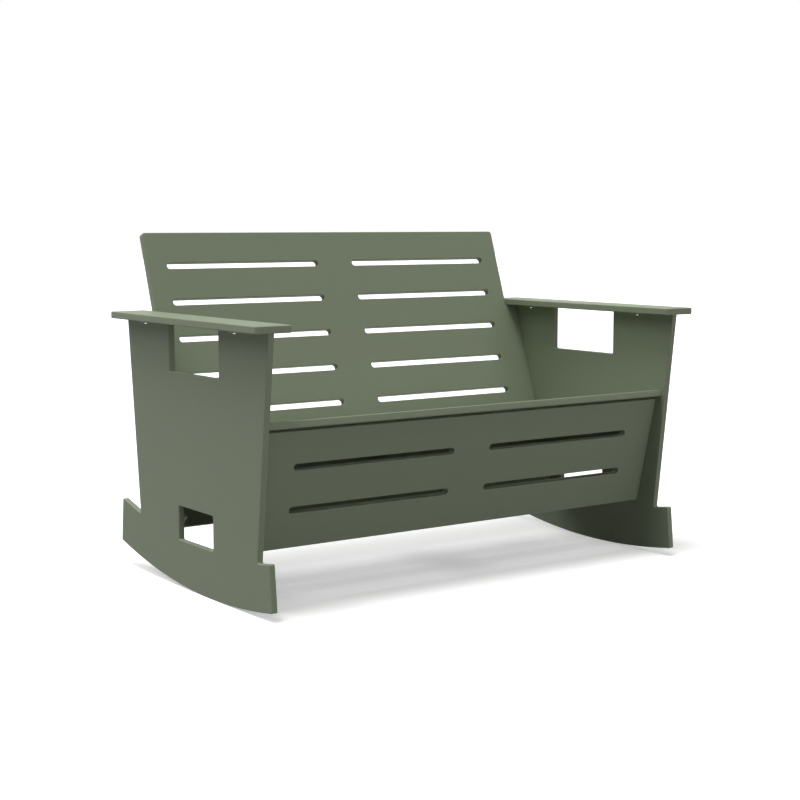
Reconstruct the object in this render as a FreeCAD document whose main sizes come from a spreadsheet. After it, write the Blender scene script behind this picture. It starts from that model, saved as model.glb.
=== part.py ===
import FreeCAD, Part
import math
import os
import Sketcher
from FreeCAD import Placement, Rotation, Vector

# A two-seat rocking bench of flat sheets. Millimetres and degrees.
# +X to the right as seen from the front, +Y to the back, +Z up. It faces -Y.
# The origin is on the floor, under the middle of the bench's whole box.
# Left and right are as seen from the front.

doc = FreeCAD.newDocument("rocking_bench")
sheet = doc.addObject("Spreadsheet::Sheet", "Dimensions")

dimensions = {
    # thickness of the side panels and of every other board, and their rounded rims
    "side_board": 14.3,
    "board": 15.9,
    "rim_radius": 2.4,
    "slot_rim_radius": 1.0,
    "corner_radius": 4.0,
    # side panels: their outer faces, the rocker's arc and the feet
    "panel_span": 1143.0,
    "balance_y": -85.15,
    "rocker_radius": 1680.0,
    "foot_height": 101.6,
    "toe_low_y": -345.45,
    "toe_top_y": -335.45,
    "heel_low_y": 355.4,
    "heel_top_y": 345.9,
    "waist_front_y": -287.15,
    "waist_rear_y": 251.1,
    "post_front_y": -341.9,
    "post_rear_y": 301.4,
    # side panels: hand notch under the armrest and lower window
    "notch_front_y": -132.3,
    "notch_rear_y": 92.3,
    "notch_floor_z": 483.8,
    "window_front_y": -98.9,
    "window_rear_y": 59.0,
    "window_low_z": 107.8,
    "window_top_z": 184.8,
    # armrests
    "arm_top_z": 608.6,
    "arm_front_y": -355.15,
    "arm_length": 667.4,
    "arm_width": 86.0,
    "arm_outer_x": 609.5,
    "arm_corner_radius": 4.8,
    # back panel: its top front edge, its lean and its outline along the sheet
    "back_top_y": 319.63,
    "back_top_z": 789.8,
    "back_lean": 19.08,
    "back_height": 700.3,
    "back_upper_width": 1045.6,
    "back_corner_radius": 8.0,
    "back_gap": 0.7,
    "back_slot_drop": 82.2,
    # seat: its top front edge and its fall towards the back
    "seat_front_y": -305.15,
    "seat_front_z": 407.8,
    "seat_fall": 10.0,
    "seat_depth": 468.7,
    "seat_slot_inset": 99.6,
    # front panel: the low edge of its front face, and its lean
    "front_low_y": -230.5,
    "front_low_z": 124.2,
    "front_lean": 13.0,
    "front_height": 265.7,
    "front_slot_rise": 86.8,
    "front_slot_pitch": 97.4,
    # long slots
    "slot_height": 15.3,
    "slot_inner_x": 50.8,
    "slot_outer_x": 471.6,
    "slot_pitch": 89.6,
    # rib under the middle of the seat
    "rib_depth": 90.0,
    "rib_gap": 0.5,
    # where the angle brackets lie along their boards
    "bracket_edge": 22.0,
    "back_bracket_drop": 301.5,
    "front_bracket_rise": 197.5,
    "seat_bracket_front": 140.0,
    "seat_bracket_rear": 380.0,
    "rib_bracket_shift": 6.0,
    # where the strap plates lie under the armrests
    "front_strap_y": -239.15,
    "rear_strap_y": 164.85,
    # angle brackets and strap plates
    "leg": 38.1,
    "plate": 3.2,
    "plate_width": 34.9,
    "bend_radius": 3.0,
    "plate_end_radius": 17.2,
    "hole_offset": 19.05,
    "hole_diameter": 5.0,
    "countersink": 1.9,
    "strap_gap": 0.2,
    "strap_reach": 36.0,
    "strap_hole": 26.0,
    # screws
    "screw_head": 9.0,
    "screw_head_height": 3.0,
    "screw_head_round": 1.4,
    "screw_shank": 4.2,
    "screw_grip": 10.0,
    "screw_tip": 2.4,
    "screw_point": 0.4,
    "pilot_diameter": 4.3,
    "pilot_spare": 0.4,
    "socket_width": 3.0,
    "socket_depth": 1.6,
    "post_screw_head": 8.6,
    "post_screw_length": 44.0,
}

for row, (name, value) in enumerate(dimensions.items(), start=1):
    sheet.set("A%d" % row, name)
    sheet.set("B%d" % row, str(value))
    sheet.setAlias("B%d" % row, name)
doc.recompute()


class Size:
    # A length with the sheet expression that gives it.
    def __init__(self, value, text):
        self.value = value
        self.text = text

    def __add__(self, other):
        other = asSize(other)
        return Size(self.value + other.value, "(%s + %s)" % (self.text, other.text))

    def __sub__(self, other):
        other = asSize(other)
        return Size(self.value - other.value, "(%s - %s)" % (self.text, other.text))

    def __mul__(self, factor):
        return Size(self.value * factor, "(%s * %r)" % (self.text, factor))

    def __neg__(self):
        return Size(-self.value, "(-%s)" % self.text)


def asSize(value):
    if isinstance(value, Size):
        return value
    return Size(float(value), "%r" % float(value))


def dim(name):
    return Size(float(sheet.get(name)), "Dimensions." + name)


def num(name):
    return float(sheet.get(name))


# Sketch and feature helpers. near is the tolerance that they find edges with, and past
# is how far a cut runs beyond the face that it opens.

near = 0.1
past = 1.0


def originPlane(body, role):
    return [item for item in body.Origin.OriginFeatures if item.Role == role][0]


def sketchOn(body, role, name, offset=None):
    sketch = body.newObject("Sketcher::SketchObject", name)
    sketch.AttachmentSupport = [(originPlane(body, role), "")]
    sketch.MapMode = "FlatFace"
    if offset is not None:
        sketch.AttachmentOffset = Placement(Vector(0, 0, offset.value), Rotation())
        sketch.setExpression(".AttachmentOffset.Base.z", offset.text)
    return sketch


def bindDistance(sketch, kind, geo, pos, size):
    # Signed distance of a point from the sketch's origin along X or Y.
    if abs(size.value) < 1e-9:
        axis = -2 if kind == "DistanceX" else -1
        sketch.addConstraint(Sketcher.Constraint("PointOnObject", geo, pos, axis))
        return
    if size.value > 0:
        index = sketch.addConstraint(Sketcher.Constraint(kind, -1, 1, geo, pos, size.value))
        text = size.text
    else:
        index = sketch.addConstraint(Sketcher.Constraint(kind, geo, pos, -1, 1, -size.value))
        text = "-1 * " + size.text
    sketch.setExpression("Constraints[%d]" % index, text)


def bindPoint(sketch, geo, pos, x, y):
    bindDistance(sketch, "DistanceX", geo, pos, asSize(x))
    bindDistance(sketch, "DistanceY", geo, pos, asSize(y))


def polygon(sketch, corners):
    corners = [(asSize(x), asSize(y)) for x, y in corners]
    first = sketch.GeometryCount
    count = len(corners)
    for index in range(count):
        start = Vector(corners[index][0].value, corners[index][1].value, 0)
        following = corners[(index + 1) % count]
        end = Vector(following[0].value, following[1].value, 0)
        sketch.addGeometry(Part.LineSegment(start, end), False)
    for index in range(count):
        after = first + (index + 1) % count
        sketch.addConstraint(Sketcher.Constraint("Coincident", first + index, 2, after, 1))
        bindPoint(sketch, first + index, 1, *corners[index])


def rectangle(sketch, x0, y0, x1, y1):
    polygon(sketch, [(x0, y0), (x1, y0), (x1, y1), (x0, y1)])


def circle(sketch, x, y, diameter):
    x = asSize(x)
    y = asSize(y)
    shape = Part.Circle(Vector(x.value, y.value, 0), Vector(0, 0, 1), diameter.value / 2)
    geo = sketch.addGeometry(shape, False)
    index = sketch.addConstraint(Sketcher.Constraint("Diameter", geo, diameter.value))
    sketch.setExpression("Constraints[%d]" % index, diameter.text)
    bindPoint(sketch, geo, 3, x, y)


def longSlot(sketch, x0, x1, y, height):
    # A slot along X with full round ends, centred on y.
    radius = height * 0.5
    left = Vector((x0 + radius).value, y.value, 0)
    right = Vector((x1 - radius).value, y.value, 0)
    up = Vector(0, radius.value, 0)
    normal = Vector(0, 0, 1)
    quarter = math.pi / 2
    endCircle = Part.Circle(left, normal, radius.value)
    farCircle = Part.Circle(right, normal, radius.value)
    a = sketch.addGeometry(Part.ArcOfCircle(endCircle, quarter, 3 * quarter), False)
    b = sketch.addGeometry(Part.LineSegment(left - up, right - up), False)
    c = sketch.addGeometry(Part.ArcOfCircle(farCircle, -quarter, quarter), False)
    d = sketch.addGeometry(Part.LineSegment(right + up, left + up), False)
    for one, two in ((a, b), (b, c), (c, d), (d, a)):
        sketch.addConstraint(Sketcher.Constraint("Tangent", one, 2, two, 1))
    bindPoint(sketch, a, 3, x0 + radius, y)
    bindDistance(sketch, "DistanceX", c, 3, x1 - radius)
    index = sketch.addConstraint(Sketcher.Constraint("Radius", a, radius.value))
    sketch.setExpression("Constraints[%d]" % index, radius.text)
    sketch.addConstraint(Sketcher.Constraint("Horizontal", b))


def pad(body, sketch, length, reverse=False, midplane=False):
    feature = body.newObject("PartDesign::Pad", sketch.Name + "Pad")
    feature.Profile = sketch
    feature.Length = length.value
    feature.setExpression("Length", length.text)
    feature.Reversed = reverse
    feature.Midplane = midplane
    doc.recompute()
    return feature


def pocket(body, sketch, length=None, reverse=False):
    # Cuts by a length, or right through both ways where none is given.
    before = body.Shape.Volume
    feature = body.newObject("PartDesign::Pocket", sketch.Name + "Pocket")
    feature.Profile = sketch
    if length is None:
        feature.Type = "ThroughAll"
        feature.Midplane = True
    else:
        feature.Length = length.value
        feature.setExpression("Length", length.text)
        feature.Reversed = reverse
    doc.recompute()
    if body.Shape.Volume > before - near:
        raise RuntimeError("%s cuts nothing" % feature.Name)
    return feature


def edgeNames(feature, wanted):
    edges = enumerate(feature.Shape.Edges, start=1)
    return ["Edge%d" % number for number, edge in edges if wanted(edge)]


def fillet(body, feature, names, radius, name):
    rounding = body.newObject("PartDesign::Fillet", name)
    rounding.Base = (feature, names)
    rounding.Radius = radius.value
    rounding.setExpression("Radius", radius.text)
    doc.recompute()
    return rounding


def isAlong(edge, direction):
    if edge.Curve.TypeId != "Part::GeomLine":
        return False
    return edge.tangentAt(edge.FirstParameter).cross(direction).Length < 1e-6


def roundCorners(body, feature, direction, radius, keep=lambda point: True):
    # Rounds the outline's corners, which are the straight edges through the board.
    def wanted(edge):
        return isAlong(edge, direction) and keep(edge.CenterOfMass)
    return fillet(body, feature, edgeNames(feature, wanted), radius, "CornerRound")


def isFlatAcross(face, direction):
    if face.Surface.TypeId != "Part::GeomPlane":
        return False
    return face.normalAt(0, 0).cross(direction).Length < 1e-6


def inSlots(point):
    return num("slot_inner_x") <= abs(point.x) <= num("slot_outer_x")


def roundRims(body, feature, direction, radius, keep=lambda point: True):
    # Rounds the edges that lie in one of the board's two faces.
    faces = [face for face in feature.Shape.Faces if isFlatAcross(face, direction)]
    largest = sorted(faces, key=lambda face: -face.Area)[:2]
    rims = [edge for face in largest for edge in face.Edges]

    def wanted(edge):
        return keep(edge.CenterOfMass) and any(edge.isSame(rim) for rim in rims)
    return fillet(body, feature, edgeNames(feature, wanted), radius, "RimRound")


def roundSlottedRims(body, feature, direction):
    feature = roundRims(body, feature, direction, dim("slot_rim_radius"), inSlots)
    return roundRims(body, feature, direction, dim("rim_radius"),
                     lambda point: not inSlots(point))


def newBody(label):
    body = doc.addObject("PartDesign::Body", label)
    body.Label = label
    return body


def place(body, base, axis=Vector(1, 0, 0), angle=None):
    # base holds three sizes, and each is bound to the sheet, as the angle is.
    base = [asSize(size) for size in base]
    turn = Rotation(axis, angle.value) if angle else Rotation()
    body.Placement = Placement(Vector(*[size.value for size in base]), turn)
    for letter, size in zip("xyz", base):
        body.setExpression("Placement.Base." + letter, size.text)
    if angle:
        body.setExpression("Placement.Rotation.Angle", angle.text)


# Derived places, used by more than one piece

board = num("board")
sideBoard = num("side_board")
armUnder = num("arm_top_z") - board
innerX = num("panel_span") / 2 - sideBoard
postCentreX = num("panel_span") / 2 - sideBoard / 2
xAxis = Vector(1, 0, 0)
yAxis = Vector(0, 1, 0)
zAxis = Vector(0, 0, 1)


class Plane:
    # A board that runs across the bench: a start point on one face, the way up or
    # back along it, and the face's outward normal. All lie in the plane X = 0.
    def __init__(self, start, along, normal):
        self.start = start
        self.along = along
        self.normal = normal

    def at(self, distance, x=0.0, depth=0.0):
        point = self.start + self.along * distance - self.normal * depth
        return Vector(x, point.y, point.z)

    def meets(self, other):
        # Distance along this face's section line to the other face's line.
        gap = other.start - self.start
        return gap.dot(other.normal) / self.along.dot(other.normal)


def slope(angle):
    return math.sin(math.radians(angle)), math.cos(math.radians(angle))


sine, cosine = slope(num("back_lean"))
backFront = Plane(Vector(0, num("back_top_y"), num("back_top_z")),
                  Vector(0, -sine, -cosine), Vector(0, -cosine, sine))
backRear = Plane(backFront.at(0, depth=board), backFront.along, backFront.normal * -1)

sine, cosine = slope(num("seat_fall"))
seatTop = Plane(Vector(0, num("seat_front_y"), num("seat_front_z")),
                Vector(0, cosine, -sine), Vector(0, sine, cosine))
seatUnder = Plane(seatTop.at(0, depth=board), seatTop.along, seatTop.normal * -1)

sine, cosine = slope(num("front_lean"))
frontFront = Plane(Vector(0, num("front_low_y"), num("front_low_z")),
                   Vector(0, -sine, cosine), Vector(0, -cosine, -sine))
frontRear = Plane(frontFront.at(0, depth=board), frontFront.along, frontFront.normal * -1)


# Angle brackets: name, the board it lies on, that board's face and the distance along it.

ribHalf = board / 2
seatMiddle = num("seat_depth") / 2
backLow = num("back_height") - num("bracket_edge")
ribDrop = num("rib_depth") / 2 + num("rib_bracket_shift")
ribFront = frontRear.meets(seatUnder) - ribDrop
ribBack = backFront.meets(seatUnder) + ribDrop

crossJoints = [
    ("back_bracket_low", "back_panel", backFront, backLow),
    ("back_bracket_high", "back_panel", backRear, num("back_bracket_drop")),
    ("front_bracket_low", "front_panel", frontRear, num("bracket_edge")),
    ("front_bracket_high", "front_panel", frontRear, num("front_bracket_rise")),
    ("seat_bracket_front", "seat_panel", seatUnder, num("seat_bracket_front")),
    ("seat_bracket_rear", "seat_panel", seatUnder, num("seat_bracket_rear")),
]
ribJoints = [
    ("rib_bracket_front", "front_panel", frontRear, ribFront),
    ("rib_bracket_back", "back_panel", backFront, ribBack),
    ("rib_bracket_seat", "seat_panel", seatUnder, seatMiddle),
]

brackets = []
for name, panel, face, distance in crossJoints:
    for side, sign in (("left", -1), ("right", 1)):
        corner = face.at(distance, x=sign * innerX)
        brackets.append((side + "_" + name, corner, xAxis * -sign, face.normal,
                         panel, side + "_side_panel"))
for name, panel, face, distance in ribJoints:
    corner = face.at(distance, x=ribHalf)
    brackets.append((name, corner, xAxis, face.normal, panel, "seat_rib"))

straps = []
for post in ("front", "rear"):
    for side, sign in (("left", -1), ("right", 1)):
        centre = Vector(sign * postCentreX, num(post + "_strap_y"), armUnder - num("plate"))
        straps.append(("%s_%s_strap" % (side, post), centre, side))

# Every screw's seat under its head, the way its head points, and the board it grips.

screwSeats = []
for name, corner, first, second, panel, standing in brackets:
    offset = num("hole_offset")
    plate = num("plate")
    screwSeats.append((corner + first * offset + second * plate, second, panel, "bracket"))
    screwSeats.append((corner + second * offset + first * plate, first, standing, "bracket"))
for name, centre, side in straps:
    for sign in (-1, 1):
        seat = centre + xAxis * sign * num("strap_hole")
        screwSeats.append((seat, zAxis * -1, side + "_armrest", "arm"))


def pilotHoles(body, role, faceOffset, normal, reverse, name, flat):
    # Blind holes for the screws that enter this body's face with this outward normal.
    # flat gives a point's two coordinates in the sketch.
    inverse = body.Placement.inverse()
    turned = body.Placement.Rotation
    points = []
    for seat, head, panel, kind in screwSeats:
        if panel != body.Label or (head - turned.multVec(normal)).Length > 1e-6:
            continue
        points.append(inverse.multVec(seat))
    sketch = sketchOn(body, role, name, faceOffset)
    for point in points:
        circle(sketch, *flat(point), dim("pilot_diameter"))
    return pocket(body, sketch, dim("screw_grip") + dim("pilot_spare"), reverse)


def sidePanel(side, sign):
    body = newBody(side + "_side_panel")
    sketch = sketchOn(body, "YZ_Plane", side + "Outline")
    radius = dim("rocker_radius")
    middle = dim("balance_y")
    footRadius = radius - dim("foot_height")
    top = dim("arm_top_z") - dim("board")

    def onArc(y, arcRadius):
        drop = math.sqrt(arcRadius.value ** 2 - (y.value - middle.value) ** 2)
        return Vector(y.value, radius.value - drop, 0)

    toeLow = onArc(dim("toe_low_y"), radius)
    heelLow = onArc(dim("heel_low_y"), radius)
    heelTop = onArc(dim("heel_top_y"), footRadius)
    waistRear = onArc(dim("waist_rear_y"), footRadius)
    waistFront = onArc(dim("waist_front_y"), footRadius)
    toeTop = onArc(dim("toe_top_y"), footRadius)
    upper = [
        (dim("post_rear_y"), top),
        (dim("notch_rear_y"), top),
        (dim("notch_rear_y"), dim("notch_floor_z")),
        (dim("notch_front_y"), dim("notch_floor_z")),
        (dim("notch_front_y"), top),
        (dim("post_front_y"), top),
    ]
    upperPoints = [Vector(y.value, z.value, 0) for y, z in upper]
    centre = Vector(middle.value, radius.value, 0)

    def arc(start, end, arcRadius):
        shape = Part.Circle(centre, Vector(0, 0, 1), arcRadius.value)
        angles = [math.atan2(p.y - centre.y, p.x - centre.x) for p in (start, end)]
        geo = sketch.addGeometry(Part.ArcOfCircle(shape, angles[0], angles[1]), False)
        index = sketch.addConstraint(Sketcher.Constraint("Radius", geo, arcRadius.value))
        sketch.setExpression("Constraints[%d]" % index, arcRadius.text)
        bindPoint(sketch, geo, 3, middle, radius)
        return geo

    def line(start, end):
        return sketch.addGeometry(Part.LineSegment(start, end), False)

    rocker = arc(toeLow, heelLow, radius)
    heelEnd = line(heelLow, heelTop)
    heelArc = arc(waistRear, heelTop, footRadius)
    rearEdge = line(waistRear, upperPoints[0])
    topLines = [line(a, b) for a, b in zip(upperPoints, upperPoints[1:])]
    frontEdge = line(upperPoints[-1], waistFront)
    toeArc = arc(toeTop, waistFront, footRadius)
    toeEnd = line(toeTop, toeLow)

    joins = [(rocker, 2, heelEnd, 1), (heelEnd, 2, heelArc, 2), (heelArc, 1, rearEdge, 1),
             (rearEdge, 2, topLines[0], 1)]
    joins += [(a, 2, b, 1) for a, b in zip(topLines, topLines[1:])]
    joins += [(topLines[-1], 2, frontEdge, 1), (frontEdge, 2, toeArc, 2),
              (toeArc, 1, toeEnd, 1), (toeEnd, 2, rocker, 1)]
    for join in joins:
        sketch.addConstraint(Sketcher.Constraint("Coincident", *join))
    bindDistance(sketch, "DistanceX", rocker, 1, dim("toe_low_y"))
    bindDistance(sketch, "DistanceX", rocker, 2, dim("heel_low_y"))
    bindDistance(sketch, "DistanceX", heelArc, 1, dim("waist_rear_y"))
    bindDistance(sketch, "DistanceX", heelArc, 2, dim("heel_top_y"))
    bindDistance(sketch, "DistanceX", toeArc, 1, dim("toe_top_y"))
    bindDistance(sketch, "DistanceX", toeArc, 2, dim("waist_front_y"))
    for geo, (y, z) in zip(topLines + [frontEdge], upper):
        bindPoint(sketch, geo, 1, y, z)
    rectangle(sketch, dim("window_front_y"), dim("window_low_z"),
              dim("window_rear_y"), dim("window_top_z"))

    feature = pad(body, sketch, dim("side_board"))
    feature = roundCorners(body, feature, xAxis, dim("corner_radius"),
                           lambda point: point.z < armUnder - near)
    roundRims(body, feature, xAxis, dim("rim_radius"))

    # shallow notches in the posts' tops for the strap plates, and their screws' holes
    mine = [centre for name, centre, own in straps if own == side]
    notches = sketchOn(body, "YZ_Plane", side + "StrapNotches")
    half = dim("plate_width") * 0.5 + dim("strap_gap")
    for spot in mine:
        floor = top - dim("plate")
        rectangle(notches, asSize(spot.y) - half, floor, asSize(spot.y) + half, top + past)
    pocket(body, notches)
    holes = sketchOn(body, "XY_Plane", side + "PostHoles", top - dim("plate"))
    for spot in mine:
        circle(holes, dim("side_board") * 0.5, spot.y, dim("pilot_diameter"))
    pocket(body, holes, dim("post_screw_length"))

    left = dim("panel_span") * -0.5
    place(body, (left if sign < 0 else dim("panel_span") * 0.5 - dim("side_board"), 0, 0))
    inner = dim("side_board") if sign < 0 else asSize(0)
    pilotHoles(body, "YZ_Plane", inner, xAxis * -sign, sign > 0, side + "Pilots",
               lambda point: (point.y, point.z))
    return body


def armrest(side, sign):
    body = newBody(side + "_armrest")
    sketch = sketchOn(body, "XY_Plane", side + "ArmOutline")
    half = dim("arm_width") * 0.5
    rectangle(sketch, -half, 0, half, dim("arm_length"))
    feature = pad(body, sketch, dim("board"), reverse=True)
    feature = roundCorners(body, feature, zAxis, dim("arm_corner_radius"))
    roundRims(body, feature, zAxis, dim("rim_radius"))
    middle = dim("arm_outer_x") - half
    place(body, (middle * sign, dim("arm_front_y"), dim("arm_top_z")))
    pilotHoles(body, "XY_Plane", -dim("board"), zAxis * -1, True, side + "ArmPilots",
               lambda point: (point.x, point.y))
    return body


def slotRows(body, sketch, feature, mirrorRole, axis, pitch, count, reverse):
    # Slots are cut on one half, repeated row by row, then mirrored to the other half.
    rows = body.newObject("PartDesign::MultiTransform", feature.Name + "Slots")
    rows.Originals = [feature]
    pattern = body.newObject("PartDesign::LinearPattern", feature.Name + "Rows")
    pattern.Direction = (sketch, [axis])
    pattern.Reversed = reverse
    pattern.Mode = "Spacing"
    pattern.Offset = pitch.value
    pattern.setExpression("Offset", pitch.text)
    pattern.Occurrences = count
    mirror = body.newObject("PartDesign::Mirrored", feature.Name + "Mirror")
    mirror.MirrorPlane = (originPlane(body, mirrorRole), [""])
    rows.Transformations = [pattern, mirror]
    body.Tip = rows
    doc.recompute()
    return rows


def backPanel():
    # Local frame: the front face is y = 0, z runs up the sheet, the top edge is z = 0.
    body = newBody("back_panel")
    sketch = sketchOn(body, "XZ_Plane", "BackOutline")
    upper = dim("back_upper_width") * 0.5
    lower = dim("panel_span") * 0.5 - dim("side_board")
    low = -dim("back_height")
    step = (num("back_top_z") - armUnder) / slope(num("back_lean"))[1] + 2 * num("back_gap")
    polygon(sketch, [(-upper, 0), (upper, 0), (upper, -step), (lower, -step),
                     (lower, low), (-lower, low), (-lower, -step), (-upper, -step)])
    feature = pad(body, sketch, dim("board"), reverse=True)
    feature = roundCorners(body, feature, yAxis, dim("back_corner_radius"),
                           lambda point: point.z > -near)
    slots = sketchOn(body, "XZ_Plane", "BackSlot")
    longSlot(slots, dim("slot_inner_x"), dim("slot_outer_x"), -dim("back_slot_drop"),
             dim("slot_height"))
    cut = pocket(body, slots)
    feature = slotRows(body, slots, cut, "YZ_Plane", "V_Axis", dim("slot_pitch"), 5, True)
    roundSlottedRims(body, feature, yAxis)
    place(body, (0, dim("back_top_y"), dim("back_top_z")), xAxis * -1, dim("back_lean"))
    pilotHoles(body, "XZ_Plane", asSize(0), yAxis * -1, False, "BackFrontPilots",
               lambda point: (point.x, point.z))
    pilotHoles(body, "XZ_Plane", -dim("board"), yAxis, True, "BackRearPilots",
               lambda point: (point.x, point.z))
    return body


def seatPanel():
    # Local frame: the top face is z = 0, y runs back along the seat from its front edge.
    body = newBody("seat_panel")
    sketch = sketchOn(body, "XY_Plane", "SeatOutline")
    half = dim("panel_span") * 0.5 - dim("side_board")
    rectangle(sketch, -half, 0, half, dim("seat_depth"))
    pad(body, sketch, dim("board"), reverse=True)
    slots = sketchOn(body, "XY_Plane", "SeatSlot")
    longSlot(slots, dim("slot_inner_x"), dim("slot_outer_x"), dim("seat_slot_inset"),
             dim("slot_height"))
    cut = pocket(body, slots)
    feature = slotRows(body, slots, cut, "YZ_Plane", "V_Axis", dim("slot_pitch"), 4, False)
    roundSlottedRims(body, feature, zAxis)
    place(body, (0, dim("seat_front_y"), dim("seat_front_z")), xAxis * -1, dim("seat_fall"))
    pilotHoles(body, "XY_Plane", -dim("board"), zAxis * -1, True, "SeatPilots",
               lambda point: (point.x, point.y))
    return body


def frontPanel():
    # Local frame: the front face is y = 0, z runs up the sheet from its low edge.
    body = newBody("front_panel")
    sketch = sketchOn(body, "XZ_Plane", "FrontOutline")
    half = dim("panel_span") * 0.5 - dim("side_board")
    rectangle(sketch, -half, 0, half, dim("front_height"))
    pad(body, sketch, dim("board"), reverse=True)
    slots = sketchOn(body, "XZ_Plane", "FrontSlot")
    longSlot(slots, dim("slot_inner_x"), dim("slot_outer_x"), dim("front_slot_rise"),
             dim("slot_height"))
    cut = pocket(body, slots)
    feature = slotRows(body, slots, cut, "YZ_Plane", "V_Axis", dim("front_slot_pitch"), 2,
                       False)
    roundSlottedRims(body, feature, yAxis)
    place(body, (0, dim("front_low_y"), dim("front_low_z")), xAxis, dim("front_lean"))
    pilotHoles(body, "XZ_Plane", -dim("board"), yAxis, True, "FrontPilots",
               lambda point: (point.x, point.z))
    return body


def seatRib():
    # It stands under the seat from the front panel to the back panel.
    gap = num("rib_gap")
    depth = num("rib_depth")
    lower = Plane(seatUnder.at(0, depth=-depth), seatUnder.along, seatUnder.normal)
    front = Plane(frontRear.at(0, depth=-gap), frontRear.along, frontRear.normal)
    rear = Plane(backFront.at(0, depth=-gap), backFront.along, backFront.normal)
    corners = [edge.at(edge.meets(end)) for edge, end in (
        (seatUnder, front), (seatUnder, rear), (lower, rear), (lower, front))]
    body = newBody("seat_rib")
    sketch = sketchOn(body, "YZ_Plane", "RibOutline")
    polygon(sketch, [(corner.y, corner.z) for corner in corners])
    feature = pad(body, sketch, dim("board"), midplane=True)
    roundRims(body, feature, xAxis, dim("rim_radius"))
    pilotHoles(body, "YZ_Plane", dim("board") * 0.5, xAxis, False, "RibPilots",
               lambda point: (point.y, point.z))
    return body


def angleBracket(label, corner, first, second):
    # Local frame: one leg lies on y = 0 and points along x, the other on x = 0 along y.
    body = newBody(label)
    sketch = sketchOn(body, "XY_Plane", label + "Profile")
    leg = dim("leg")
    plate = dim("plate")
    polygon(sketch, [(0, 0), (leg, 0), (leg, plate), (plate, plate), (plate, leg), (0, leg)])
    feature = pad(body, sketch, dim("plate_width"), midplane=True)

    def outerBend(edge):
        return isAlong(edge, zAxis) and edge.CenterOfMass.Length < near
    feature = fillet(body, feature, edgeNames(feature, outerBend), dim("bend_radius"),
                     label + "Bend")

    def legEnd(edge):
        middle = edge.CenterOfMass
        across = abs(middle.z) > num("plate_width") / 2 - near
        far = max(middle.x, middle.y) > num("leg") - near
        return across and far and edge.Length < num("plate") + near
    fillet(body, feature, edgeNames(feature, legEnd), dim("plate_end_radius"), label + "Ends")
    for role, name in (("XZ_Plane", "LowHole"), ("YZ_Plane", "SideHole")):
        hole = sketchOn(body, role, label + name)
        circle(hole, dim("hole_offset"), 0, dim("hole_diameter"))
        pocket(body, hole)
    matrix = FreeCAD.Matrix(first, second, first.cross(second), corner)
    body.Placement = Placement(matrix)
    return body


def strapPlate(label, centre):
    body = newBody(label)
    sketch = sketchOn(body, "XY_Plane", label + "Outline")
    reach = dim("strap_reach")
    longSlot(sketch, -reach, reach, asSize(0), dim("plate_width"))
    pad(body, sketch, dim("plate"))
    holes = sketchOn(body, "XY_Plane", label + "Holes")
    offset = dim("strap_hole")
    for x in (-offset, asSize(0), offset):
        circle(holes, x, 0, dim("hole_diameter"))
    feature = pocket(body, holes)

    def middleRim(edge):
        spot = edge.CenterOfMass
        return abs(spot.x) < near and abs(spot.y) < near and spot.z > num("plate") - near
    sink = body.newObject("PartDesign::Chamfer", label + "Countersink")
    sink.Base = (feature, edgeNames(feature, middleRim))
    sink.Size = num("countersink")
    sink.setExpression("Size", "Dimensions.countersink")
    doc.recompute()
    body.Placement = Placement(centre, Rotation())
    return body


def panScrew():
    # Pan-headed screw: z = 0 is the plane under its head, and the head points up.
    body = newBody("pan_screw_pattern")
    sketch = sketchOn(body, "XZ_Plane", "ScrewProfile")
    head = dim("screw_head") * 0.5
    shank = dim("screw_shank") * 0.5
    length = dim("plate") + dim("screw_grip")
    polygon(sketch, [(0, dim("screw_head_height")), (0, -length),
                     (dim("screw_point"), -length), (shank, -length + dim("screw_tip")),
                     (shank, 0), (head, 0), (head, dim("screw_head_height"))])
    turn = body.newObject("PartDesign::Revolution", "ScrewTurn")
    turn.Profile = sketch
    turn.ReferenceAxis = (sketch, ["V_Axis"])
    turn.Angle = 360
    doc.recompute()

    def headRim(edge):
        circular = edge.Curve.TypeId == "Part::GeomCircle"
        return circular and edge.CenterOfMass.z > num("screw_head_height") - near
    fillet(body, turn, edgeNames(turn, headRim), dim("screw_head_round"), "HeadRound")
    socket = sketchOn(body, "XY_Plane", "Socket", dim("screw_head_height"))
    corners = []
    for index in range(6):
        angle = math.radians(60 * index)
        radius = num("socket_width") / math.sqrt(3)
        corners.append((radius * math.cos(angle), radius * math.sin(angle)))
    polygon(socket, corners)
    pocket(body, socket, dim("socket_depth"))
    return body


def postScrew():
    # Long countersunk screw: z = 0 is its flat top, flush with the strap plate.
    body = newBody("post_screw_pattern")
    sketch = sketchOn(body, "XZ_Plane", "PostScrewProfile")
    head = dim("post_screw_head") * 0.5
    shank = dim("screw_shank") * 0.5
    length = dim("post_screw_length")
    polygon(sketch, [(0, 0), (0, -length), (dim("screw_point"), -length),
                     (shank, -length + dim("screw_tip")), (shank, shank - head), (head, 0)])
    turn = body.newObject("PartDesign::Revolution", "PostScrewTurn")
    turn.Profile = sketch
    turn.ReferenceAxis = (sketch, ["V_Axis"])
    turn.Angle = 360
    doc.recompute()
    return body


def screwGroup(label, pattern, seats):
    # Separate copies of one screw, each with its head pointing its own way.
    copies = []
    for seat, head in seats:
        copy = pattern.Shape.copy()
        copy.Placement = Placement(seat, Rotation(zAxis, head)).multiply(copy.Placement)
        copies.append(copy)
    group = doc.addObject("Part::Feature", label)
    group.Label = label
    group.Shape = Part.makeCompound(copies)
    return group


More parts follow.
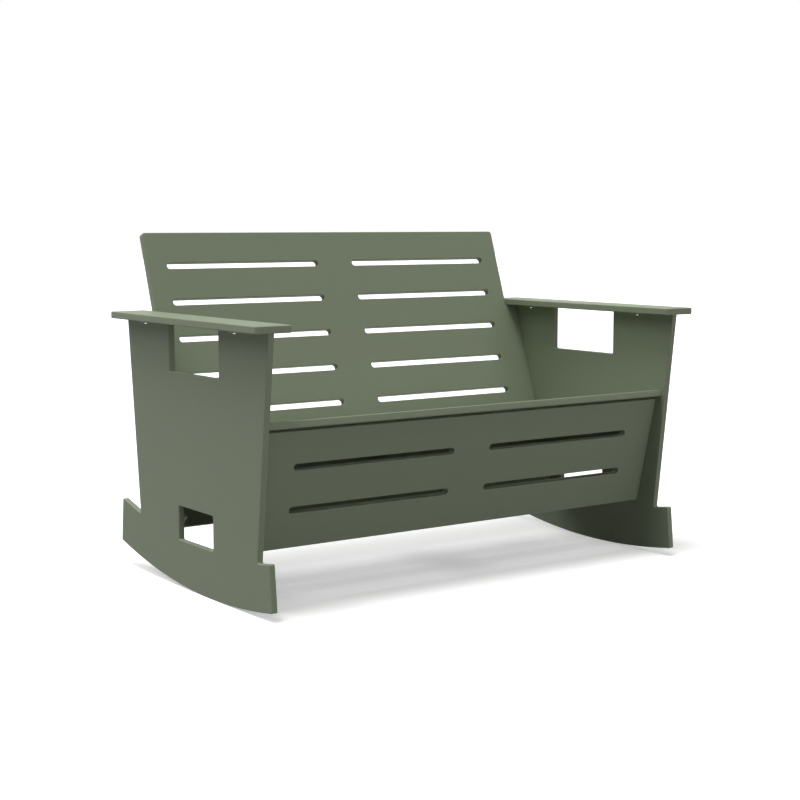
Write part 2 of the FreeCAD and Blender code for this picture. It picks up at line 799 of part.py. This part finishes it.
nodes = [sidePanel("left", -1), sidePanel("right", 1)]
nodes += [armrest("left", -1), armrest("right", 1)]
nodes += [backPanel(), seatPanel(), frontPanel(), seatRib()]
for name, corner, first, second, panel, standing in brackets:
    nodes.append(angleBracket(name, corner, first, second))
for name, centre, side in straps:
    nodes.append(strapPlate(name, centre))
doc.recompute()

panPattern = panScrew()
postPattern = postScrew()
doc.recompute()
for kind in ("bracket", "arm"):
    seats = [(seat, head) for seat, head, panel, own in screwSeats if own == kind]
    nodes.append(screwGroup(kind + "_screws", panPattern, seats))
postSeats = [(centre + zAxis * num("plate"), zAxis) for name, centre, side in straps]
nodes.append(screwGroup("post_screws", postPattern, postSeats))
doc.recompute()

# Nothing is written if an object failed or a piece's solid is empty or unsound.

for item in doc.Objects:
    if "Invalid" in item.State or "Error" in item.State:
        raise RuntimeError("%s failed: %s" % (item.Name, item.State))
for node in nodes:
    if node.Shape.isNull() or not node.Shape.isValid() or not node.Shape.Solids:
        raise RuntimeError("%s has no sound shape" % node.Label)

os.makedirs("parts", exist_ok=True)
for node in nodes:
    node.Shape.exportStep(os.path.join("parts", node.Label + ".step"))
    print("%-28s %3d solid(s) %10.1f mm3" % (
        node.Label, len(node.Shape.Solids), node.Shape.Volume))
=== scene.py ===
import math

import bmesh
import bpy
import numpy as np
from mathutils import Euler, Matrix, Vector


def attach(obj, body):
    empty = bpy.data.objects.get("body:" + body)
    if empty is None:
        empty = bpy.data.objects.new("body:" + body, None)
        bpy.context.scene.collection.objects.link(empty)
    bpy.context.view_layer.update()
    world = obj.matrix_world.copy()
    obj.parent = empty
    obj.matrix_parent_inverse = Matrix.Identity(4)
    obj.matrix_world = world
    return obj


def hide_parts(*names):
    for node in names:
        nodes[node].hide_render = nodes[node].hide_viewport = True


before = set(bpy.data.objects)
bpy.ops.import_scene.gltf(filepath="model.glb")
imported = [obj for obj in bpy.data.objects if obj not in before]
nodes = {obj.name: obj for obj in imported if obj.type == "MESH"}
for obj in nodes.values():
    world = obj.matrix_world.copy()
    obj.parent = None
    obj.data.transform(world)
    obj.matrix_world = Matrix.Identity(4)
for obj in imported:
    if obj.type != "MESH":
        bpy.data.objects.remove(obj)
scene = bpy.context.scene
scene.view_settings.view_transform = "Standard"
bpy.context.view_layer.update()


# Camera, where the photograph was taken from

photoView = {
    "place": (-2.1628, -3.03825, 0.8111),
    "turn": 35.324,         # degrees from +Y towards +X
    "dip": 6.451,           # degrees below the horizon
    "lens": 70.437,         # millimetres, as the sensor is
    "sensor": 36.0,
    "shiftX": 0.0011,
    "shiftY": 0.0005,
    "farthest": 100.0,      # metres that the camera sees
}


def makeCamera():
    data = bpy.data.cameras.new("photoCamera")
    data.lens = photoView["lens"]
    data.sensor_width = photoView["sensor"]
    data.shift_x = photoView["shiftX"]
    data.shift_y = photoView["shiftY"]
    data.clip_end = photoView["farthest"]
    camera = bpy.data.objects.new("photoCamera", data)
    camera.location = photoView["place"]
    camera.rotation_euler = Euler((math.radians(90 - photoView["dip"]), 0,
                                   math.radians(-photoView["turn"])))
    scene.collection.objects.link(camera)
    scene.camera = camera


makeCamera()
print("camera: placed")


# Node maths: a Wire is one socket, and Graph.node makes any node of any tree

class Wire:
    def __init__(self, graph, socket):
        self.graph = graph
        self.socket = socket

    def also(self, output):
        # Another output of the same node.
        return Wire(self.graph, self.socket.node.outputs[output])

    def maths(self, operation, *values):
        return self.graph.node("ShaderNodeMath", {"operation": operation},
                               dict(enumerate(values)))

    def __add__(self, other):
        return self.maths("ADD", self, other)

    def __radd__(self, other):
        return self.maths("ADD", other, self)

    def __sub__(self, other):
        return self.maths("SUBTRACT", self, other)

    def __rsub__(self, other):
        return self.maths("SUBTRACT", other, self)

    def __mul__(self, other):
        return self.maths("MULTIPLY", self, other)

    def __rmul__(self, other):
        return self.maths("MULTIPLY", other, self)

    def __abs__(self):
        return self.maths("ABSOLUTE", self)


class Graph:
    def __init__(self, tree):
        self.tree = tree
        self.tree.nodes.clear()

    def node(self, kind, settings=None, values=None, output=0):
        made = self.tree.nodes.new(kind)
        for name, value in (settings or {}).items():
            setattr(made, name, value)
        for name, value in (values or {}).items():
            socket = made.inputs[name]
            if isinstance(value, Wire):
                self.tree.links.new(value.socket, socket)
            else:
                socket.default_value = value
        return Wire(self, made.outputs[output]) if made.outputs else None


class Finish(Graph):
    # A material's nodes, with what the finishes share.
    def __init__(self, name):
        self.material = bpy.data.materials.new(name)
        self.material.use_nodes = True
        super().__init__(self.material.node_tree)

    def vector(self, operation, *values, output=0):
        return self.node("ShaderNodeVectorMath", {"operation": operation},
                         dict(enumerate(values)), output)

    def scaled(self, colour, amount):
        return self.node("ShaderNodeVectorMath", {"operation": "SCALE"},
                         {0: colour, "Scale": amount})

    def noise(self, place, scale, detail, roughness):
        return self.node("ShaderNodeTexNoise", {"noise_dimensions": "3D"},
                         {"Vector": place, "Scale": scale, "Detail": detail,
                          "Roughness": roughness})

    def step(self, value, low, high):
        return self.node("ShaderNodeMapRange", {"interpolation_type": "SMOOTHSTEP"},
                         {"Value": value, "From Min": low, "From Max": high})

    def bump(self, height, distance, under=None):
        values = {"Height": height, "Distance": distance}
        if under is not None:
            values["Normal"] = under
        return self.node("ShaderNodeBump", None, values)

    def surface(self, values):
        shader = self.node("ShaderNodeBsdfPrincipled", None, values)
        self.node("ShaderNodeOutputMaterial", None, {"Surface": shader})
        return self.material


# Sheet plastic: a fine pebbled face, and cut edges with the cutter's faint lines, a little
# lighter than the face, with a painted highlight on the rounded rims.
# Each pattern is a noise: its scale per metre, detail and roughness.

sheetLook = {
    "colour": (0.250, 0.288, 0.204),
    "pebble": (1100.0, 3.0, 0.55),
    "pebbleHeight": 0.00006,
    "cloud": (9.0, 3.0, 0.5),
    "cloudShare": 0.05,         # of the colour
    "fleck": (420.0, 2.0, 0.7),
    "fleckShare": 0.05,
    "cutLines": (2600.0, 2.0, 0.6),
    "lineHeight": 0.00003,
    "lineDrift": 0.012,         # how much the pattern changes along a line
    "cutRange": (0.25, 0.90),   # how much lighter a cut edge is; on the rounded rims this lightening is a painted highlight
    "cutToneAndPaintedRimHighlight": 0.05,           # how much lighter a cut edge is
    "faceRoughness": 0.50,
    "cutRoughness": 0.40,
    "pebbleRoughness": 0.10,
    "index": 1.50,
    "gloss": 0.12,
}


def sheetPlastic(name, across):
    # across: the direction through the board's thickness
    look = sheetLook
    paint = Finish(name)
    place = paint.node("ShaderNodeTexCoord", output="Object")
    facing = paint.node("ShaderNodeNewGeometry", output="Normal")
    straight = abs(paint.vector("DOT_PRODUCT", facing, across, output=1))
    cut = 1.0 - paint.step(straight, *look["cutRange"])

    depth = paint.vector("DOT_PRODUCT", place, across, output=1)
    layered = paint.vector("ADD", paint.scaled(across, depth),
                           paint.scaled(place, look["lineDrift"]))
    lines = paint.noise(layered, *look["cutLines"])
    pebble = paint.noise(place, *look["pebble"])
    cloud = paint.noise(place, *look["cloud"])
    fleck = paint.noise(place, *look["fleck"])

    # Cut edges and rounded rims are made lighter: the cut's own tone on the flat cut edges, and a
    # painted highlight on the rounded rims.
    light = (1.0 + (cloud - 0.5) * look["cloudShare"] + (fleck - 0.5) * look["fleckShare"]
             + cut * look["cutToneAndPaintedRimHighlight"])
    rough = (look["faceRoughness"] + (look["cutRoughness"] - look["faceRoughness"]) * cut
             + (pebble - 0.5) * look["pebbleRoughness"])
    grain = paint.bump(pebble * (1.0 - cut), look["pebbleHeight"])
    relief = paint.bump(lines * cut, look["lineHeight"], grain)
    return paint.surface({"Base Color": paint.scaled(look["colour"], light),
                          "Roughness": rough, "Normal": relief, "IOR": look["index"],
                          "Specular IOR Level": look["gloss"]})


# Powder coat on the brackets and strap plates

coatLook = {
    "colour": (0.205, 0.235, 0.168),
    "peel": (620.0, 2.0, 0.4),
    "peelHeight": 0.00005,
    "peelShare": 0.10,          # of the colour
    "peelRoughness": 0.20,
    "cloud": (30.0, 2.0, 0.5),
    "cloudShare": 0.08,
    "roughness": 0.38,
    "topCoat": 0.25,
    "topCoatRoughness": 0.25,
}


def powderCoat(name):
    look = coatLook
    paint = Finish(name)
    place = paint.node("ShaderNodeTexCoord", output="Object")
    peel = paint.noise(place, *look["peel"])
    cloud = paint.noise(place, *look["cloud"])
    light = 1.0 + (peel - 0.5) * look["peelShare"] + (cloud - 0.5) * look["cloudShare"]
    return paint.surface({"Base Color": paint.scaled(look["colour"], light),
                          "Roughness": look["roughness"] + (peel - 0.5) * look["peelRoughness"],
                          "Normal": paint.bump(peel, look["peelHeight"]),
                          "Coat Weight": look["topCoat"],
                          "Coat Roughness": look["topCoatRoughness"]})


# Stainless steel of the screws, with rings turned round each head

steelLook = {
    "colour": (0.62, 0.615, 0.60),
    "rings": (26.0, 3.0, 0.6),
    "ringStretch": (0.6, 1.0, 0.0),     # round the screw and along its outline
    "ringHeight": 0.00002,
    "ringShare": 0.12,                  # of the colour
    "ringRoughness": 0.16,
    "stain": (260.0, 2.0, 0.5),
    "stainShare": 0.10,
    "stainRoughness": 0.10,
    "roughness": 0.24,
}


def turnedSteel(name):
    look = steelLook
    paint = Finish(name)
    turn = paint.node("ShaderNodeUVMap", {"uv_map": "turned"})
    rings = paint.noise(paint.vector("MULTIPLY", turn, look["ringStretch"]), *look["rings"])
    place = paint.node("ShaderNodeTexCoord", output="Object")
    stain = paint.noise(place, *look["stain"])
    light = 1.0 + (rings - 0.5) * look["ringShare"] + (stain - 0.5) * look["stainShare"]
    rough = (look["roughness"] + (rings - 0.5) * look["ringRoughness"]
             + (stain - 0.5) * look["stainRoughness"])
    return paint.surface({"Base Color": paint.scaled(look["colour"], light),
                          "Metallic": 1.0, "Roughness": rough,
                          "Normal": paint.bump(rings, look["ringHeight"])})


# Which finish each node of the frame gets. A board has its lean about X in degrees, and
# the direction through its thickness before it leans.

boardSettings = {
    "side_panel": (0, (1, 0, 0)),
    "armrest": (0, (0, 0, 1)),
    "back_panel": (-19.08, (0, 1, 0)),
    "seat_panel": (-10.0, (0, 0, 1)),
    "front_panel": (13.0, (0, 1, 0)),
    "seat_rib": (0, (1, 0, 0)),
}


def leaning(angle, upright):
    turned = Euler((math.radians(angle), 0, 0)).to_matrix() @ Vector(upright)
    return tuple(turned.normalized())


def finishOf(name):
    for board, sheet in boardFinishes.items():
        if name.endswith(board):
            return sheet
    return steel if name.endswith("screws") else coat


boardFinishes = {board: sheetPlastic(board + "_sheet", leaning(*setting))
                 for board, setting in boardSettings.items()}
coat = powderCoat("bracket_coat")
steel = turnedSteel("screw_steel_turned")
for name, node in nodes.items():
    for slot in node.material_slots:
        slot.material = finishOf(name)
print("finishes: %d boards, coat and steel" % len(boardFinishes))


# Screws: a pan-headed and a countersunk pattern, set at every screw of the frame

panScrew = {
    "head": 0.0045,         # radius
    "height": 0.0030,       # of the head
    "crown": 0.0014,        # radius of the rounded rim
    "crownSteps": 6,
    "socket": 0.00150,      # half the hexagon's width across flats
    "socketDepth": 0.0016,
    "shank": 0.0021,        # radius
    "length": 0.0132,       # under the head
}
postScrew = {
    "head": 0.0043,
    "socket": 0.00150,
    "socketDepth": 0.0016,
    "shank": 0.0021,
    "length": 0.0440,       # from the flat head's face
}
screwDetail = {             # of both patterns
    "turnSteps": 36,
    "edge": 0.0002,         # bevel round the head
    "floorShare": 0.98,     # the socket's floor and mouth, of its width
    "mouthShare": 1.10,
    "mouthDepth": 0.00015,
    "drillDepth": 0.0004,   # of the hollow in the socket's floor
    "pointLength": 0.0024,
    "pointRadius": 0.0004,
    "smoothTo": 40,         # degrees
    "outlineScale": 200.0,  # of the outline's length in the UV map, per metre
    "scale": 1.0,           # of a screw that is set, against its pattern
}
seatSearch = {
    "grid": 1e5,            # per metre; corners in one cell are one corner
    "endDepth": 1e-4,       # metres at either end that its width is taken from
    "sortDigits": 5,
}


def hexRadius(half, angle):
    sector = math.tau / 6
    return half / math.cos((angle % sector) - sector / 2)


def turnedMesh(name, rings):
    # rings: (radius, height, six-sided), from the socket's floor to the tip
    made = bmesh.new()
    steps = screwDetail["turnSteps"]
    rows = []
    along = 0.0
    last = rings[0]
    for radius, height, sixSided in rings:
        along += math.hypot(radius - last[0], height - last[1])
        last = (radius, height)
        if radius == 0:
            row = [made.verts.new((0, 0, height))] * steps
        else:
            row = []
            for index in range(steps):
                angle = math.tau * index / steps
                reach = hexRadius(radius, angle) if sixSided else radius
                row.append(made.verts.new((reach * math.cos(angle), reach * math.sin(angle),
                                           height)))
        rows.append((row, along))
    layer = made.loops.layers.uv.new("turned")
    for (inner, near), (outer, far) in zip(rows, rows[1:]):
        for index in range(steps):
            after = (index + 1) % steps
            corners = {}        # a pole is two corners in one, and counts once
            for vert, step, distance in ((inner[index], index, near),
                                         (outer[index], index, far),
                                         (outer[after], index + 1, far),
                                         (inner[after], index + 1, near)):
                corners.setdefault(vert, (step, distance))
            face = made.faces.new(list(corners))
            face.smooth = True
            for loop, (step, distance) in zip(face.loops, corners.values()):
                loop[layer].uv = (step / steps, distance * screwDetail["outlineScale"])
    mesh = bpy.data.meshes.new(name)
    made.normal_update()
    made.to_mesh(mesh)
    made.free()
    mesh.set_sharp_from_angle(angle=math.radians(screwDetail["smoothTo"]))
    return bpy.data.objects.new(name, mesh)


def socketRings(size, top):
    floor = top - size["socketDepth"]
    return [(0.0, floor - screwDetail["drillDepth"], False),
            (size["socket"] * screwDetail["floorShare"], floor, True),
            (size["socket"], top - screwDetail["mouthDepth"], True),
            (size["socket"] * screwDetail["mouthShare"], top, True)]


def pointRings(size):
    return [(size["shank"], screwDetail["pointLength"] - size["length"], False),
            (screwDetail["pointRadius"], -size["length"], False),
            (0.0, -size["length"], False)]


def panRings(size):
    edge = screwDetail["edge"]
    crown = size["crown"]
    rings = socketRings(size, size["height"])
    for step in range(size["crownSteps"] + 1):
        angle = math.radians(90 * step / size["crownSteps"])
        rings.append((size["head"] - crown + crown * math.sin(angle),
                      size["height"] - crown * (1 - math.cos(angle)), False))
    rings += [(size["head"], edge, False), (size["head"] - edge, 0.0, False),
              (size["shank"], 0.0, False)]
    return rings + pointRings(size)


def postRings(size):
    edge = screwDetail["edge"]
    slant = size["head"] - size["shank"]
    rings = socketRings(size, 0.0)
    rings += [(size["head"] - edge, 0.0, False), (size["head"], -edge, False),
              (size["shank"], -slant - edge, False)]
    return rings + pointRings(size)


def looseParts(mesh):
    # The corners of each loose part of a mesh.
    points = np.empty(len(mesh.vertices) * 3)
    mesh.vertices.foreach_get("co", points)
    points = points.reshape(-1, 3)
    cells = {}
    group = []
    for point in points:
        cell = tuple(np.round(point * seatSearch["grid"]).astype(int))
        group.append(cells.setdefault(cell, len(cells)))
    parent = list(range(len(cells)))

    def root(index):
        while parent[index] != index:
            parent[index] = parent[parent[index]]
            index = parent[index]
        return index

    for edge in mesh.edges:
        a, b = (root(group[index]) for index in edge.vertices)
        parent[a] = b
    parts = {}
    for point, index in zip(points, group):
        parts.setdefault(root(index), []).append(point)
    return [np.array(part) for part in parts.values()]


def screwSeats(node, length):
    # Where each screw of a node sits, and which way its head points.
    found = []
    for cloud in looseParts(node.data):
        lengthways = np.linalg.eigh(np.cov((cloud - cloud.mean(0)).T))[1][:, 2]
        along = cloud @ lengthways
        tip = cloud[along < along.min() + seatSearch["endDepth"]]
        head = cloud[along > along.max() - seatSearch["endDepth"]]
        if np.ptp(tip, axis=0).max() > np.ptp(head, axis=0).max():
            tip, head = head, tip       # the tip is the narrow end
        tip, head = ((end.max(0) + end.min(0)) / 2 for end in (tip, head))
        axis = Vector(head - tip).normalized()
        found.append((Vector(tip) + axis * length, axis))
    digits = seatSearch["sortDigits"]
    return sorted(found, key=lambda seat: tuple(round(value, digits) for value in seat[0]))


def screwTree():
    # Sets the pattern on every point, its head along the point's own direction, and
    # gives each a turn of its own about that.
    tree = bpy.data.node_groups.new("setScrews", "GeometryNodeTree")
    for label, kind in (("Geometry", "Geometry"), ("Pattern", "Object"), ("Size", "Float"),
                        ("Seed", "Int"), ("Finish", "Material")):
        tree.interface.new_socket(label, in_out="INPUT", socket_type="NodeSocket" + kind)
    tree.interface.new_socket("Geometry", in_out="OUTPUT", socket_type="NodeSocketGeometry")

    graph = Graph(tree)
    given = graph.node("NodeGroupInput")
    headWay = graph.node("GeometryNodeInputNamedAttribute", {"data_type": "FLOAT_VECTOR"},
                         {"Name": "headWay"})
    upright = graph.node("FunctionNodeAlignRotationToVector", {"axis": "Z"},
                         {"Vector": headWay})
    turn = graph.node("FunctionNodeRandomValue", {"data_type": "FLOAT"},
                      {2: 0.0, 3: math.tau, "Seed": given.also("Seed")}, output=1)
    spin = graph.node("ShaderNodeCombineXYZ", None, {"Z": turn})
    rotated = graph.node("FunctionNodeRotateRotation", {"rotation_space": "LOCAL"},
                         {"Rotation": upright, "Rotate By": spin})
    pattern = graph.node("GeometryNodeObjectInfo", {"transform_space": "ORIGINAL"},
                         {"Object": given.also("Pattern")}, output="Geometry")
    placed = graph.node("GeometryNodeInstanceOnPoints", None, {
        "Points": given, "Instance": pattern, "Rotation": rotated,
        "Scale": given.also("Size")})
    real = graph.node("GeometryNodeRealizeInstances", None, {"Geometry": placed})
    painted = graph.node("GeometryNodeSetMaterial", None, {
        "Geometry": real, "Material": given.also("Finish")})
    graph.node("NodeGroupOutput", None, {"Geometry": painted})
    return tree


def setScrews(name, node, pattern, length, tree, seed):
    seats = screwSeats(nodes[node], length)
    mesh = bpy.data.meshes.new(name + "Points")
    mesh.from_pydata([seat for seat, way in seats], [], [])
    ways = mesh.attributes.new("headWay", "FLOAT_VECTOR", "POINT")
    ways.data.foreach_set("vector", [value for seat, way in seats for value in way])
    base = bpy.data.objects.new(name + "Points", mesh)
    scene.collection.objects.link(base)
    modifier = base.modifiers.new("screws", "NODES")
    modifier.node_group = tree
    inputs = {item.name: item.identifier for item in tree.interface.items_tree
              if item.item_type == "SOCKET" and item.in_out == "INPUT"}
    modifier[inputs["Pattern"]] = pattern
    modifier[inputs["Size"]] = screwDetail["scale"]
    modifier[inputs["Seed"]] = seed
    modifier[inputs["Finish"]] = steel
    bpy.context.view_layer.update()
    ready = base.evaluated_get(bpy.context.evaluated_depsgraph_get())
    solid = bpy.data.meshes.new_from_object(ready)
    base.modifiers.remove(modifier)
    bpy.data.objects.remove(base)
    piece = bpy.data.objects.new(name, solid)
    scene.collection.objects.link(piece)
    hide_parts(node)
    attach(piece, "root")
    print("%s: %d screws, %d faces" % (name, len(seats), len(solid.polygons)))


tree = screwTree()
panPattern = turnedMesh("panScrewPattern", panRings(panScrew))
postPattern = turnedMesh("postScrewPattern", postRings(postScrew))
for pattern in (panPattern, postPattern):
    scene.collection.objects.link(pattern)
setScrews("bracketScrews", "bracket_screws", panPattern, panScrew["length"], tree, 3)
setScrews("armScrews", "arm_screws", panPattern, panScrew["length"], tree, 5)
setScrews("postScrews", "post_screws", postPattern, postScrew["length"], tree, 7)
for pattern in (panPattern, postPattern):
    bpy.data.objects.remove(pattern)


# Studio: a white floor that keeps the shadow, a white surround and soft lamps

plainWhite = (1.0, 1.0, 1.0, 1.0)
studio = {
    "floorHalf": 30.0,
    "seenLift": 0.40,       # glow that brings the lit floor to white and keeps the shadow soft
    "mirrorLift": 0.75,     # glow that makes the floor white in a reflection
    "bounceColour": (0.24, 0.24, 0.24, 1.0),    # of the floor, for the light that falls on things
    # strength, width, turn and height of each lamp, the last three in degrees
    "lamps": {
        "overheadLamp": (1.05, 90, 0, 90),
        "leftLamp": (1.74, 20, 90, 78),
        "backLeftLamp": (1.12, 50, 130, 45),
        "frontLamp": (0.68, 30, 0, 8),
    },
}


def rayKinds(graph):
    # Two switches: 1 for camera rays, and 1 for reflected and transmitted rays. Both are 0
    # for the light that falls on things.
    camera = graph.node("ShaderNodeLightPath", output="Is Camera Ray")
    mirrored = camera.maths("MAXIMUM", camera.also("Is Glossy Ray"),
                            camera.also("Is Transmission Ray"))
    return camera, mirrored


def makeFloor():
    paint = Finish("studioFloor")

    def matt(colour):
        return paint.node("ShaderNodeBsdfDiffuse", None, {"Color": colour})

    def lifted(under, strength):
        glow = paint.node("ShaderNodeEmission", None, {
            "Color": plainWhite, "Strength": strength})
        return paint.node("ShaderNodeAddShader", None, {0: under, 1: glow})

    def mixed(factor, off, on):
        return paint.node("ShaderNodeMixShader", None, {0: factor, 1: off, 2: on})

    camera, mirrored = rayKinds(paint)
    seen = lifted(matt(plainWhite), studio["seenLift"])
    bounce = matt(studio["bounceColour"])
    unseen = mixed(mirrored, bounce, lifted(bounce, studio["mirrorLift"]))
    paint.node("ShaderNodeOutputMaterial", None, {"Surface": mixed(camera, unseen, seen)})

    mesh = bpy.data.meshes.new("studioFloor")
    half = studio["floorHalf"]
    mesh.from_pydata([(-half, -half, 0), (half, -half, 0), (half, half, 0), (-half, half, 0)],
                     [], [(0, 1, 2, 3)])
    mesh.materials.append(paint.material)
    floor = bpy.data.objects.new("studioFloor", mesh)
    scene.collection.objects.link(floor)


def makeWorld():
    world = bpy.data.worlds.new("studioWorld")
    world.use_nodes = True
    graph = Graph(world.node_tree)
    camera, mirrored = rayKinds(graph)
    surround = graph.node("ShaderNodeBackground", None, {
        "Color": plainWhite, "Strength": camera + mirrored})
    graph.node("ShaderNodeOutputWorld", None, {"Surface": surround})
    scene.world = world


def makeLamp(name, strength, width, turn, height):
    # A far, broad lamp: width is its spread, turn its place round the bench from the
    # front (-Y) towards the left (-X), and height its elevation.
    data = bpy.data.lights.new(name, "SUN")
    data.energy = strength
    data.angle = math.radians(width)
    lamp = bpy.data.objects.new(name, data)
    lamp.rotation_euler = Euler((math.radians(90 - height), 0, math.radians(-turn)))
    scene.collection.objects.link(lamp)


makeFloor()
makeWorld()
for name, lamp in studio["lamps"].items():
    makeLamp(name, *lamp)
print("studio: floor, world and lamps")
